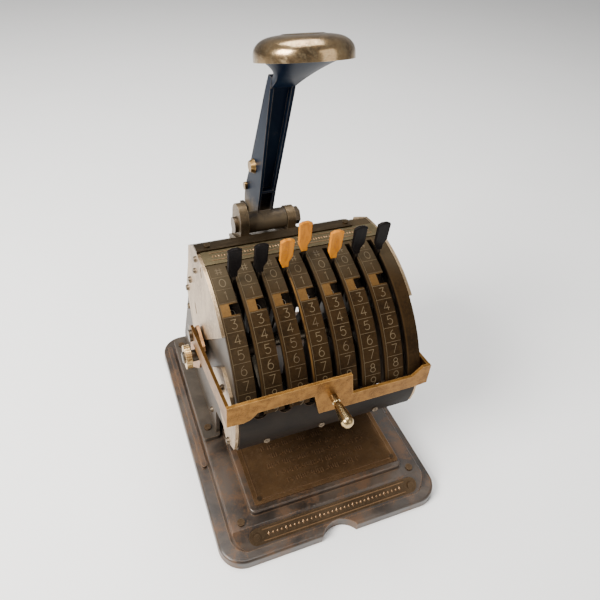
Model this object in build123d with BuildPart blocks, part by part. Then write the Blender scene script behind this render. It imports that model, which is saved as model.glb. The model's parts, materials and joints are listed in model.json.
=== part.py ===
from build123d import *
import os
from math import cos, sin, radians, degrees, atan2, sqrt

# Seven-column check writer: cast base, head with a slotted cylindrical face, seven key segments
# on one shaft, a clearing bail, and a palm lever that lifts the platen against the type.
# +Z up, front towards -Y, millimetres, origin at the centre of the base's underside.

# ---- overall sizes ---------------------------------------------------------------------------
BASE_W = 190.0
BASE_D = 251.0
BASE_CORNER = 20.0
FLANGE_T = 9.0
TIER_TOP = 20.0
BED_TOP = 25.0
PLATE_T = 1.2

# ---- drum: the axis that the keys turn about, and the face around it --------------------------
AXIS_Y = 10.3
AXIS_Z = 98.3
FACE_R = 99.3
FACE_T = 2.5
FACE_HALF = 72.0
FACE_LOW = 16.2
FACE_HIGH = 100.0

# ---- columns -----------------------------------------------------------------------------------
COLUMNS = 7
PITCH = 19.2
FIRST_X = -55.9
SLOT_W = 4.0
ROW = 6.2
WINDOW_A = 61.4
HOME_A = WINDOW_A + 3 * ROW
KEY_ROWS = [0, 0, 0, -1, 0, 0, 0]

# ---- shaft, segments and type ------------------------------------------------------------------
SHAFT_R = 5.0
RUN = 0.05
HUB_R = 11.0
HUB_W = 8.0
WEB_T = 2.4
DIAL_R = 89.0
TYPE_R = 60.0
DIAL_W = 8.0

# ---- side frames and end plates -----------------------------------------------------------------
FRAME_T = 3.0
SKIN_T = 2.4
SKIN_X = FACE_HALF + SKIN_T

# ---- lever ---------------------------------------------------------------------------------------
LEVER_X = -10.0
PIVOT_Y = 48.0
PIVOT_Z = 196.0
PIVOT_R = 4.0
CRANK = 28.0
LEVER_SWING = 26.0
CAP_R = 31.5
CAP_X, CAP_Y, CAP_Z = -4.0, 4.0, 343.0
CAP_TILT = 16.0

# ---- bail ----------------------------------------------------------------------------------------
BAIL_Y = 16.0
BAIL_Z = 116.0
BAIL_FRONT = -89.0
BAIL_T = 2.4
BAIL_LEFT = -82.0
BAIL_RIGHT = 77.6

HOOD_R = DIAL_R + 2.5
ROD_Y = PIVOT_Y + CRANK * cos(radians(LEVER_SWING / 4))
ROD_R = 4.0
GUIDE_Z = 146.0
LIFT = 2 * CRANK * sin(radians(LEVER_SWING / 2))
PAD_TOP = BED_TOP - 0.4

COLUMN_X = [FIRST_X + PITCH * i for i in range(COLUMNS)]
COLLAR_W = PITCH - HUB_W - 0.2

os.makedirs("parts", exist_ok=True)


def on_drum(r, a):
    """Point (y, z) at radius r and angle a above the horizontal, measured from the front."""
    return (AXIS_Y - r * cos(radians(a)), AXIS_Z + r * sin(radians(a)))


def drum_band(r_in, r_out, a0, a1):
    """Closed sector of a ring about the drum axis, drawn on a YZ plane."""
    mid = (a0 + a1) / 2
    with BuildLine() as ring:
        ThreePointArc(on_drum(r_out, a0), on_drum(r_out, mid), on_drum(r_out, a1))
        Line(on_drum(r_out, a1), on_drum(r_in, a1))
        ThreePointArc(on_drum(r_in, a1), on_drum(r_in, mid), on_drum(r_in, a0))
        Line(on_drum(r_in, a0), on_drum(r_out, a0))
    make_face(ring.edges())


def yz_polygon(points):
    """Filled polygon of (y, z) points on the open YZ sketch."""
    Polygon(*points, align=None)


def across(x):
    """Sketch plane square to the X axis at x."""
    return Plane.YZ.offset(x)


def save(part, name):
    """Label a finished piece and write it."""
    part.label = name
    export_step(part, f"parts/{name}.step")


# ======== base ======================================================================================
TIER_X = BASE_W / 2 - 10.0
TIER_FRONT = -BASE_D / 2 + 7.0
TIER_BACK = BASE_D / 2 - 15.0
BAND_TOP_Y = TIER_FRONT + 13.0
BED_X0, BED_X1 = -66.0, 68.8
BED_Y0, BED_Y1 = -98.0, 98.0
NOTCH_R = 17.5
PLATEN_HALF = 62.0
PLATEN_D = 9.4
YOKE_HALF = 9.0
YOKE_Y1 = ROD_Y + 7.0
FOOT_Y0, FOOT_Y1 = -20.0, 108.0
FOOT_X0, FOOT_X1 = FACE_HALF - FRAME_T, 84.0
FOOT_TOP = TIER_TOP + 4.0

with BuildPart() as base:
    with BuildSketch(Plane.XY):
        RectangleRounded(BASE_W, BASE_D, BASE_CORNER)
    extrude(amount=FLANGE_T)
    fillet(base.edges().group_by(Axis.Z)[-1], 2.0)
    with BuildSketch(Plane.XY.offset(FLANGE_T)):
        with Locations((0, (TIER_FRONT + TIER_BACK) / 2)):
            RectangleRounded(2 * TIER_X, TIER_BACK - TIER_FRONT, BASE_CORNER - 5)
    extrude(amount=TIER_TOP - FLANGE_T, taper=5)
    with BuildSketch(across(-BASE_W / 2)):
        yz_polygon([(TIER_FRONT - 2, FLANGE_T), (TIER_FRONT + 0.5, FLANGE_T),
                    (BAND_TOP_Y, TIER_TOP), (BAND_TOP_Y, TIER_TOP + 3), (TIER_FRONT - 2, TIER_TOP + 3)])
    extrude(amount=BASE_W, mode=Mode.SUBTRACT)
    fillet(base.edges().group_by(Axis.Z)[-1], 1.5)
    with BuildSketch(Plane.XY.offset(TIER_TOP - 1)):
        with Locations(((BED_X0 + BED_X1) / 2, (BED_Y0 + BED_Y1) / 2)):
            RectangleRounded(BED_X1 - BED_X0, BED_Y1 - BED_Y0, 5)
    extrude(amount=BED_TOP - TIER_TOP + 1)
    fillet(base.edges().group_by(Axis.Z)[-1], 1.2)
    # side beads on the flange, and the thumb notch in the front edge
    for side in (-1, 1):
        with BuildSketch(Plane.XY.offset(FLANGE_T - 1)):
            with Locations((side * (TIER_X + 3.4), 36)):
                SlotOverall(148, 4.0, rotation=90)
        extrude(amount=4.0)
    with BuildSketch(Plane.XY):
        with Locations((0, -BASE_D / 2 + 8.5 - NOTCH_R)):
            Circle(NOTCH_R)
    extrude(amount=TIER_TOP + 2, mode=Mode.SUBTRACT)
    # hollow underside, with corner bosses for the bottom plate
    with BuildSketch(Plane.XY):
        with Locations((0, (BAND_TOP_Y + TIER_BACK) / 2)):
            RectangleRounded(2 * TIER_X - 12, TIER_BACK - BAND_TOP_Y - 8, 9)
    extrude(amount=TIER_TOP - 5, mode=Mode.SUBTRACT)
    with BuildSketch(Plane.XY.offset(3.2)):
        with Locations((0, (BAND_TOP_Y + TIER_BACK) / 2)):
            with GridLocations(2 * TIER_X - 30, TIER_BACK - BAND_TOP_Y - 26, 2, 2):
                Circle(6)
    extrude(amount=TIER_TOP - 7)
    # openings in the bed for the platen bar and for the yoke behind it
    with BuildSketch(Plane.XY.offset(TIER_TOP - 8)):
        with Locations((0, AXIS_Y)):
            Rectangle(2 * PLATEN_HALF + 1, PLATEN_D + 1)
        with Locations((LEVER_X, (AXIS_Y + YOKE_Y1) / 2 + 0.5)):
            Rectangle(2 * YOKE_HALF + 1, YOKE_Y1 - AXIS_Y + 1)
    extrude(amount=20, mode=Mode.SUBTRACT)
save(base.part, "base_casting")

with BuildPart() as bottom:
    with BuildSketch(Plane.XY.offset(1.0)):
        with Locations((0, (BAND_TOP_Y + TIER_BACK) / 2)):
            RectangleRounded(2 * TIER_X - 12.4, TIER_BACK - BAND_TOP_Y - 8.4, 8.8)
            with GridLocations(2 * TIER_X - 30, TIER_BACK - BAND_TOP_Y - 26, 2, 2):
                Circle(1.6, mode=Mode.SUBTRACT)
    extrude(amount=2.2)
save(bottom.part, "bottom_plate")

# Instruction plate with rows of raised dashes
INST_X0, INST_X1 = -61.0, 67.5
INST_Y0, INST_Y1 = -93.5, -14.0
with BuildPart() as inst:
    with BuildSketch(Plane.XY.offset(BED_TOP)):
        with Locations(((INST_X0 + INST_X1) / 2, (INST_Y0 + INST_Y1) / 2)):
            RectangleRounded(INST_X1 - INST_X0, INST_Y1 - INST_Y0, 2)
    extrude(amount=PLATE_T)
save(inst.part, "instruction_plate")

# Name plate lying on the sloped front band
SLOPE_A = degrees(atan2(TIER_TOP - FLANGE_T, BAND_TOP_Y - TIER_FRONT - 0.5))
SLOPE_MID = ((BAND_TOP_Y + TIER_FRONT + 0.5) / 2, (TIER_TOP + FLANGE_T) / 2)
name_plane = Plane(origin=(2.0, SLOPE_MID[0], SLOPE_MID[1]), x_dir=(1, 0, 0),
                   z_dir=(0, -sin(radians(SLOPE_A)), cos(radians(SLOPE_A))))
with BuildPart() as name_plate:
    with BuildSketch(name_plane):
        SlotOverall(148, 12.5)
        with GridLocations(136, 1, 2, 1):
            Circle(1.6, mode=Mode.SUBTRACT)
    extrude(amount=1.0)
save(name_plate.part, "front_plate")

with BuildPart() as base_screws:
    with BuildSketch(name_plane.offset(1.0)):
        with GridLocations(136, 1, 2, 1):
            Circle(2.6)
    extrude(amount=1.1)
    with BuildSketch(name_plane):
        with GridLocations(136, 1, 2, 1):
            Circle(1.6)
    extrude(amount=1.2)
    with BuildSketch(Plane.XY.offset(TIER_TOP)):
        with Locations((-75, -100), (75, -100)):
            Circle(3.0)
    extrude(amount=1.4)
    with BuildSketch(Plane.XY.offset(FOOT_TOP)):
        with Locations((0, (FOOT_Y0 + FOOT_Y1) / 2)):
            with GridLocations(156, 106, 2, 2):
                Circle(3.0)
    extrude(amount=1.6)
    with BuildSketch(Plane.XY.offset(BED_TOP + PLATE_T)):
        with Locations(((INST_X0 + INST_X1) / 2, (INST_Y0 + INST_Y1) / 2)):
            with GridLocations(INST_X1 - INST_X0 - 9, INST_Y1 - INST_Y0 - 9, 2, 2):
                Circle(2.0)
    extrude(amount=0.9)
save(base_screws.part, "base_screws")

# ======== side frames and end plates ===================================================================
FACE_IN = FACE_R - FACE_T
FRAME_OUTLINE = [on_drum(HOOD_R, 115), (52, 165), (80, 95), (106, 34), (106, FOOT_TOP), (-16, FOOT_TOP),
                 (-18, 56), (-48, 68), (-72, 81), (-78.4, 88), (-80.4, 100), (-80.6, 118)]
TIES = [on_drum(77, -9), (85.0, 60.0), (52.0, 112.0)]
TIE_R = 4.0


def frame_outline():
    """Side frame: round where it carries the face, straight down the back to the foot."""
    with BuildLine() as outline:
        ThreePointArc(on_drum(FACE_IN, 17), on_drum(FACE_IN, 60), on_drum(FACE_IN, FACE_HIGH))
        Line(on_drum(FACE_IN, FACE_HIGH), on_drum(HOOD_R, FACE_HIGH))
        ThreePointArc(on_drum(HOOD_R, FACE_HIGH), on_drum(HOOD_R, 108), on_drum(HOOD_R, 115))
        Polyline(*FRAME_OUTLINE, on_drum(FACE_IN, 17))
    make_face(outline.edges())


def side_frame(side):
    """Inner load-bearing plate with its foot flange on the base."""
    x0 = side * (FACE_HALF - FRAME_T)
    with BuildPart() as frame:
        with BuildSketch(across(x0)):
            frame_outline()
            with Locations((AXIS_Y, AXIS_Z)):
                Circle(SHAFT_R, mode=Mode.SUBTRACT)
            for tie in TIES:
                with Locations(tie):
                    Circle(TIE_R - 1, mode=Mode.SUBTRACT)
        extrude(amount=side * FRAME_T)
        with BuildSketch(Plane.XY.offset(TIER_TOP)):
            with Locations((side * (FOOT_X0 + FOOT_X1) / 2, (FOOT_Y0 + FOOT_Y1) / 2)):
                RectangleRounded(FOOT_X1 - FOOT_X0, FOOT_Y1 - FOOT_Y0, 3)
        extrude(amount=FOOT_TOP - TIER_TOP)
        chamfer(frame.edges().filter_by(Plane.XY).group_by(Axis.Z)[-1].filter_by(GeomType.LINE), 0.6)
    return frame.part


save(side_frame(-1), "side_frame_left")
save(side_frame(1), "side_frame_right")


def end_plate(side):
    """Bright outer skin over the upper part of a side frame, with its two slots."""
    with BuildPart() as plate:
        with BuildSketch(across(side * FACE_HALF)):
            with BuildLine():
                ThreePointArc(on_drum(FACE_R, 51), on_drum(FACE_R, 76), on_drum(FACE_R, 101))
                Polyline(on_drum(FACE_R, 101), on_drum(94, 113), (52, 165), (66, 128), (44, 92), (26, 98),
                         (12, 112), on_drum(FACE_R, 51))
            make_face()
            with Locations((4.5, 189)):
                SlotOverall(9, 2.4, rotation=70, mode=Mode.SUBTRACT)
            with Locations((31, 131)):
                SlotOverall(11, 3.0, rotation=62, mode=Mode.SUBTRACT)
        extrude(amount=side * SKIN_T)
    return plate.part


save(end_plate(-1), "end_plate_left")
save(end_plate(1), "end_plate_right")


def toe_plate(side):
    """Lower front skin that ends in a rounded toe."""
    with BuildPart() as plate:
        with BuildSketch(across(side * FACE_HALF)):
            yz_polygon([(-22, 115), (-49, 143), (-70, 134), (-82.5, 124), (-83.6, 112), (-82.6, 98),
                        (-80.5, 88), (-77, 85), (-58, 72), (-44, 84)])
        extrude(amount=side * SKIN_T)
        fillet(plate.edges().filter_by(Axis.X), 1.5)
    return plate.part


save(toe_plate(-1), "toe_plate_left")
save(toe_plate(1), "toe_plate_right")

# ======== face, title plate, bars, hood, lower cover ====================================================
WINDOW_W = 8.3
WINDOW_H = 4.8
with BuildPart() as face:
    with BuildSketch(across(-FACE_HALF + 0.1)):
        drum_band(FACE_IN, FACE_R, FACE_LOW, FACE_HIGH)
    extrude(amount=2 * FACE_HALF - 0.2)
    for x in COLUMN_X:
        with BuildSketch(across(x - SLOT_W / 2)):
            drum_band(FACE_IN - 4, FACE_R + 4, FACE_LOW - 3, HOME_A + 2.3)
        extrude(amount=SLOT_W, mode=Mode.SUBTRACT)
        with BuildSketch(across(x - WINDOW_W)):
            drum_band(FACE_IN - 4, FACE_R + 4, WINDOW_A - WINDOW_H / 2, WINDOW_A + WINDOW_H / 2)
        extrude(amount=WINDOW_W, mode=Mode.SUBTRACT)
        # shallow engraved lines between the digit cells
        for k in range(-1, 9):
            a = WINDOW_A - (k - 1.5) * ROW
            with BuildSketch(across(x - 14.6)):
                drum_band(FACE_R - 0.3, FACE_R + 1, a - 0.16, a + 0.16)
            extrude(amount=12.6, mode=Mode.SUBTRACT)
        with BuildSketch(across(x - 14.9)):
            drum_band(FACE_R - 0.3, FACE_R + 1, FACE_LOW - 1, HOME_A + 3)
        extrude(amount=0.5, mode=Mode.SUBTRACT)
save(face.part, "face_plate")

with BuildPart() as title:
    with BuildSketch(across(-FACE_HALF + 0.1)):
        drum_band(FACE_R, FACE_R + 0.9, 84.2, 93.1)
    extrude(amount=2 * FACE_HALF - 0.2)
save(title.part, "title_plate")

BAR_X0, BAR_X1 = -SKIN_X, 54.0
with BuildPart() as top_bar:
    with BuildSketch(across(BAR_X0)):
        drum_band(FACE_R, FACE_R + 2.2, 93.3, 99.8)
    extrude(amount=BAR_X1 - BAR_X0)
    with BuildSketch(Plane.XY.offset(AXIS_Z + FACE_R + 1.6)):
        with Locations((BAR_X0 + 9, AXIS_Y + 11), (BAR_X1 - 4, AXIS_Y + 11)):
            Circle(2.4)
    extrude(amount=1.4)
save(top_bar.part, "top_bar")

with BuildPart() as top_rail:
    with BuildSketch(across(-(FACE_HALF - FRAME_T))):
        drum_band(HOOD_R, FACE_IN, 95.0, FACE_HIGH)
    extrude(amount=2 * (FACE_HALF - FRAME_T))
save(top_rail.part, "top_rail")

HOOD_END = 127.0
HOOD_SHEET_Y = on_drum(HOOD_R, HOOD_END)[0]
with BuildPart() as hood:
    with BuildSketch(across(-(FACE_HALF - FRAME_T))):
        drum_band(HOOD_R - 1.5, HOOD_R, 95.0, HOOD_END)
    extrude(amount=2 * (FACE_HALF - FRAME_T))
    with BuildSketch(across(-(FACE_HALF - FRAME_T))):
        yz_polygon([(HOOD_SHEET_Y, on_drum(HOOD_R, HOOD_END)[1]), (HOOD_SHEET_Y, 84),
                    (HOOD_SHEET_Y - 1.5, 84), (HOOD_SHEET_Y - 1.5, on_drum(HOOD_R, HOOD_END - 1)[1] - 1.0)])
    extrude(amount=2 * (FACE_HALF - FRAME_T))
save(hood.part, "rear_hood")

COVER = [(-82.4, 125.0), (-84.2, 116.0), (-84.4, 108.0), (-83.6, 99.0), (-81.6, 90.0), (-79.6, 85.0),
         (-74.0, 81.5)]
COVER_SCREWS = [(-50, 91.5), (-6, 91.5), (40, 91.5)]
with BuildPart() as cover:
    with BuildSketch(across(-(FACE_HALF - 0.4))):
        with BuildLine():
            Spline(*COVER)
            Polyline(COVER[-1], (-73.4, 83.1), (-78.4, 86.4), (-80.2, 90.6), (-82.1, 99.4), (-82.8, 108.0),
                     (-82.6, 115.8), (-80.8, 124.8), COVER[0])
        make_face()
    extrude(amount=2 * (FACE_HALF - 0.4))
    for x in COLUMN_X:
        with BuildSketch(Plane.XZ.offset(72)):
            with Locations((x, 125.5)):
                Circle(5.4)
        extrude(amount=20, mode=Mode.SUBTRACT)
    with BuildSketch(Plane.XZ.offset(72)):
        with Locations(*COVER_SCREWS):
            Circle(2.3)
    extrude(amount=20, mode=Mode.SUBTRACT)
save(cover.part, "lower_cover")

with BuildPart() as cover_screws:
    with BuildSketch(Plane.XZ.offset(79.6)):
        with Locations(*COVER_SCREWS):
            Circle(2.3)
    extrude(amount=3.6)
save(cover_screws.part, "cover_screws")

# ======== shaft, collars, tie rods =======================================================================
SHAFT_X0 = -92.0
SHAFT_X1 = 84.0
with BuildPart() as shaft:
    with BuildSketch(across(SHAFT_X0)):
        with Locations((AXIS_Y, AXIS_Z)):
            Circle(SHAFT_R)
    extrude(amount=SHAFT_X1 - SHAFT_X0)
    with BuildSketch(across(SKIN_X)):
        with Locations((AXIS_Y, AXIS_Z)):
            RegularPolygon(8, 6)
    extrude(amount=5)
    chamfer(shaft.faces().sort_by(Axis.X)[0].edges(), 0.8)
save(shaft.part, "drum_shaft")

with BuildPart() as collars:
    ends = [-(FACE_HALF - FRAME_T)] + [x + HUB_W / 2 + 0.1 for x in COLUMN_X]
    stops = [x - HUB_W / 2 - 0.1 for x in COLUMN_X] + [FACE_HALF - FRAME_T]
    for x0, x1 in zip(ends, stops):
        with BuildSketch(across(x0)):
            with Locations((AXIS_Y, AXIS_Z)):
                Circle(SHAFT_R + 3)
                Circle(SHAFT_R, mode=Mode.SUBTRACT)
        extrude(amount=x1 - x0)
save(collars.part, "shaft_collars")

with BuildPart() as ties:
    for tie in TIES:
        with BuildSketch(across(-(FACE_HALF - FRAME_T))):
            with Locations(tie):
                Circle(TIE_R)
        extrude(amount=2 * (FACE_HALF - FRAME_T))
        with BuildSketch(across(-FACE_HALF)):
            with Locations(tie):
                Circle(TIE_R - 1)
        extrude(amount=2 * FACE_HALF)
save(ties.part, "tie_rods")

# Copper-coloured bracket that carries the bail's left pivot and steadies the shaft end
BRACKET_X = -76.4
BRACKET_T = 2.2
with BuildPart() as bracket:
    with BuildSketch(across(BRACKET_X)):
        yz_polygon([(-10, 124), (12, 130), (42, 94), (42, 50), (10, 82)])
        with Locations((BAIL_Y, BAIL_Z)):
            Circle(3.0, mode=Mode.SUBTRACT)
        with Locations((AXIS_Y, AXIS_Z)):
            Circle(SHAFT_R, mode=Mode.SUBTRACT)
    extrude(amount=-BRACKET_T)
    fillet(bracket.edges().filter_by(Axis.X).filter_by(GeomType.LINE).sort_by(Axis.Z)[-6:], 2.5)
    with BuildSketch(across(BRACKET_X)):
        with Locations((36, 62), (19, 90)):
            Circle(3.0)
    extrude(amount=BRACKET_X * -1 - FACE_HALF)
save(bracket.part, "pivot_bracket")

with BuildPart() as bail_pins:
    with BuildSketch(across(BAIL_LEFT - 2.6)):
        with Locations((BAIL_Y, BAIL_Z)):
            Circle(5.0)
    extrude(amount=2.3)
    with BuildSketch(across(BAIL_LEFT - 0.5)):
        with Locations((BAIL_Y, BAIL_Z)):
            Circle(3.0)
    extrude(amount=-BAIL_LEFT + 0.5 - SKIN_X)
    with BuildSketch(across(BAIL_RIGHT + 0.3)):
        with Locations((BAIL_Y, BAIL_Z)):
            Circle(5.0)
    extrude(amount=2.3)
    with BuildSketch(across(SKIN_X)):
        with Locations((BAIL_Y, BAIL_Z)):
            Circle(3.0)
    extrude(amount=BAIL_RIGHT + 0.5 - SKIN_X)
save(bail_pins.part, "bail_pivots")

LEFT_SCREWS = [(20, 190, 2.6), (24, 176, 2.4), (-52, 124, 3.2), (-66, 80, 3.0), (46, 150, 3.0),
               (58, 132, 2.8), (70, 100, 3.0), (60, 60, 2.8), (-6, 44, 2.8)]
with BuildPart() as frame_screws:
    for y, z, r in LEFT_SCREWS:
        plated = (z > 125 and y > 0) or y < -40
        seat = SKIN_X if plated else FACE_HALF
        for side in (-1,) if y < -40 else (-1, 1):
            with BuildSketch(across(side * seat)):
                with Locations((y, z)):
                    Circle(r)
            extrude(amount=side * 2.0, taper=18)
save(frame_screws.part, "frame_screws")

# ======== lever bracket, guide, pivot pin =================================================================
CHEEKS = [(-34.0, 7.0, 202.0, 12.0), (7.0, 7.0, PIVOT_Z, 9.5)]
with BuildPart() as lever_bracket:
    for x, t, z_top, r in CHEEKS:
        with BuildSketch(across(x)):
            with Locations((PIVOT_Y, z_top)):
                Circle(r)
            yz_polygon([(PIVOT_Y - r, z_top), (PIVOT_Y - r, 170), (PIVOT_Y + r + 3, 170), (PIVOT_Y + r, z_top)])
            with Locations((AXIS_Y, AXIS_Z)):
                Circle(HOOD_R, mode=Mode.SUBTRACT)
        extrude(amount=t)
        with BuildSketch(across(x - 3)):
            drum_band(HOOD_R, HOOD_R + 4, 101, 122)
        extrude(amount=t + 6)
    with BuildSketch(across(-34)):
        drum_band(HOOD_R, HOOD_R + 1.6, 101, 122)
    extrude(amount=48)
    with BuildSketch(across(-40)):
        with Locations((PIVOT_Y, PIVOT_Z)):
            Circle(PIVOT_R)
    extrude(amount=70, mode=Mode.SUBTRACT)
save(lever_bracket.part, "lever_bracket")

with BuildPart() as pivot_pin:
    with BuildSketch(across(-36)):
        with Locations((PIVOT_Y, PIVOT_Z)):
            Circle(PIVOT_R)
    extrude(amount=52)
    with BuildSketch(across(14.0)):
        with Locations((PIVOT_Y, PIVOT_Z)):
            RegularPolygon(7.5, 6)
    extrude(amount=5)
    with BuildSketch(across(-34.0)):
        with Locations((PIVOT_Y, PIVOT_Z)):
            Circle(6.5)
    extrude(amount=-3)
save(pivot_pin.part, "pivot_pin")

with BuildPart() as guide:
    with BuildSketch(Plane.XY.offset(GUIDE_Z)):
        with Locations((LEVER_X, (HOOD_SHEET_Y + ROD_Y + 9) / 2)):
            Rectangle(30, ROD_Y + 9 - HOOD_SHEET_Y)
        with Locations((LEVER_X, ROD_Y)):
            Circle(ROD_R + RUN, mode=Mode.SUBTRACT)
    extrude(amount=4)
    with BuildSketch(across(LEVER_X - 15)):
        yz_polygon([(HOOD_SHEET_Y, GUIDE_Z - 16), (HOOD_SHEET_Y + 2, GUIDE_Z - 16),
                    (HOOD_SHEET_Y + 2, GUIDE_Z + 10), (HOOD_SHEET_Y, GUIDE_Z + 10)])
    extrude(amount=30)
save(guide.part, "rod_guide")

# ======== key segments ======================================================================================
TAB_R = FACE_R + 31.0
STEM_HALF = 1.9


def polar(r, a, start):
    """Point on the drum plane at angle a from a segment's stem direction."""
    return on_drum(r, start + a)


def segment(x, stem):
    """Key segment: hub, stem, dial arc behind the window and type arc over the platen."""
    with BuildPart() as seg:
        with BuildSketch(across(x - HUB_W / 2)):
            with Locations((AXIS_Y, AXIS_Z)):
                Circle(HUB_R)
        extrude(amount=HUB_W)
        with BuildSketch(across(x - WEB_T / 2)):
            yz_polygon([polar(6, 40, stem), polar(FACE_R + 4, 1.1, stem), polar(FACE_R + 10, 1.7, stem),
                        polar(FACE_R + 10, 0.4, stem), polar(FACE_R + 4, -1.1, stem), polar(6, -40, stem)])
            drum_band(DIAL_R - 7, DIAL_R, stem - 21.5, stem + 45.5)
            for a in (-19, 16, 43):
                yz_polygon([polar(6, a + 40, stem), polar(DIAL_R - 3, a + 1.8, stem),
                            polar(DIAL_R - 3, a - 1.8, stem), polar(6, a - 40, stem)])
            drum_band(8, TYPE_R - 3, stem - 173, stem - 105)
        extrude(amount=WEB_T)
        with BuildSketch(across(x - WEB_T / 2 - DIAL_W)):
            drum_band(DIAL_R - 2, DIAL_R, stem - 21.5, stem + 45.5)
        extrude(amount=DIAL_W + WEB_T / 2)
        with BuildSketch(across(x - 3.5)):
            drum_band(TYPE_R - 6, TYPE_R - 3, stem - 173, stem - 105)
            for k in range(-1, 10):
                a = stem - 90 - WINDOW_A + (k - 2) * ROW
                drum_band(TYPE_R - 4, TYPE_R, a - 2.1, a + 2.1)
        extrude(amount=7)
        with BuildSketch(across(x - HUB_W)):
            with Locations((AXIS_Y, AXIS_Z)):
                Circle(SHAFT_R + RUN)
        extrude(amount=2 * HUB_W, mode=Mode.SUBTRACT)
    return seg.part


def key_tab(x, stem):
    """Paddle on the end of a stem: rounded top, straight left flank, tapered right flank."""
    lean = 2.2
    base_y, base_z = on_drum(FACE_R + 6, stem)
    tip_y, tip_z = on_drum(TAB_R, stem + lean)
    rise = sqrt((tip_y - base_y) ** 2 + (tip_z - base_z) ** 2)
    up = ((tip_y - base_y) / rise, (tip_z - base_z) / rise)
    plane = Plane(origin=(x, base_y, base_z), x_dir=(1, 0, 0), z_dir=(0, -up[1], up[0]))
    with BuildPart() as tab:
        with BuildSketch(plane.offset(-1.5)) as tab_sketch:
            with BuildLine():
                Polyline((-2.3, 0), (-5.0, 6.5), (-5.2, rise - 1.5), (-2.2, rise), (2.2, rise),
                         (5.1, rise - 1.5), (4.9, 9.5), (2.3, 5.0), (2.3, 0), close=True)
            make_face()
            fillet(tab_sketch.vertices().group_by(Axis.Y)[-1], 2.0)
            fillet(tab_sketch.vertices().group_by(Axis.Y)[1:4], 1.6)
        extrude(amount=3.0)
        fillet(tab.faces().sort_by(SortBy.AREA)[-2:].edges(), 0.8)
        with BuildSketch(across(x - WEB_T / 2)):
            yz_polygon([polar(6, 40, stem), polar(FACE_R + 4, 1.1, stem), polar(FACE_R + 10, 1.7, stem),
                        polar(FACE_R + 10, 0.4, stem), polar(FACE_R + 4, -1.1, stem), polar(6, -40, stem)])
        extrude(amount=WEB_T, mode=Mode.SUBTRACT)
    return tab.part


for index, x in enumerate(COLUMN_X):
    stem_angle = WINDOW_A - (KEY_ROWS[index] - 2) * ROW
    save(segment(x, stem_angle), f"number_segment_{index + 1}")
    save(key_tab(x, stem_angle), f"key_tab_{index + 1}")

# ======== clearing bail =======================================================================================
BAIL_BACK = BAIL_FRONT + BAIL_T
with BuildPart() as bail:
    with BuildSketch(Plane.XZ.offset(-BAIL_BACK)):
        with BuildLine():
            Polyline((BAIL_LEFT, 147), (-20.5, 148), (10, 148.5), (13, 127.5), (63, 127.5), (67, 131),
                     (71, 135.5), (BAIL_RIGHT, 135.5), (BAIL_RIGHT, 116.5), (69, 115.6), (13, 115.2),
                     (-13, 115.2), (-18, 135.8), (-60, 135), (-65, 129.5), (-70, 127.8), (BAIL_LEFT, 128),
                     (BAIL_LEFT, 147))
        make_face()
    extrude(amount=BAIL_T)
    for x, sign, top, low in ((BAIL_LEFT, 1, 147, 128), (BAIL_RIGHT, -1, 135.5, 116.5)):
        with BuildSketch(across(x)):
            with Locations((BAIL_Y, BAIL_Z)):
                Circle(8.5)
            yz_polygon([(BAIL_Y, BAIL_Z + 8.5), (BAIL_FRONT + 0.02, top), (BAIL_FRONT + 0.02, low),
                        (-70, low - 1), (BAIL_Y, BAIL_Z - 8.5)])
        extrude(amount=sign * BAIL_T)
    with BuildSketch(across(-100)):
        with Locations((BAIL_Y, BAIL_Z)):
            Circle(3.0 + RUN)
    extrude(amount=200, mode=Mode.SUBTRACT)
save(bail.part, "clearing_bail")

with BuildPart() as handle:
    with BuildSketch(Plane(origin=(-3, BAIL_FRONT, 130), x_dir=(1, 0, 0), z_dir=(0, -1, 0))):
        Circle(3.0)
    extrude(amount=5)
    with BuildSketch(Plane(origin=(-3, BAIL_FRONT, 130), x_dir=(0, -1, 0), z_dir=(1, 0, 0))):
        with BuildLine():
            Polyline((4, 0), (4, 2.6), (6, 2.3), (8, 3.0), (18, 4.2), (22, 4.6))
            Spline((22, 4.6), (25.5, 3.6), (27, 0), tangents=[(1, 0.2), (0, -1)])
            Line((27, 0), (4, 0))
        make_face()
    revolve(axis=Axis((-3, BAIL_FRONT, 130), (0, -1, 0)))
save(handle.part, "bail_handle")

# ======== thumb nut on the shaft end ===========================================================================
NUT_X = -85.2
with BuildPart() as nut:
    with BuildSketch(across(NUT_X)):
        with Locations((AXIS_Y, AXIS_Z)):
            Circle(10.0)
            with PolarLocations(10.0, 28):
                Circle(0.55, mode=Mode.SUBTRACT)
            Circle(SHAFT_R + RUN, mode=Mode.SUBTRACT)
    extrude(amount=-5.0)
save(nut.part, "thumb_nut")

# ======== lever ====================================================================================================
LEAN = 13.4
LEVER_TOP_Z = 325.0
FRONT_TOP_Y = PIVOT_Y + 2 - (LEVER_TOP_Z - PIVOT_Z) * sin(radians(LEAN)) / cos(radians(LEAN))
PIN_Y = PIVOT_Y + CRANK * cos(radians(LEVER_SWING / 2))
PIN_Z = PIVOT_Z - CRANK * sin(radians(LEVER_SWING / 2))


def front_y(z):
    """Y of the lever's front face at height z."""
    return PIVOT_Y + 2 + (FRONT_TOP_Y - PIVOT_Y - 2) * (z - PIVOT_Z) / (LEVER_TOP_Z - PIVOT_Z)


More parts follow.
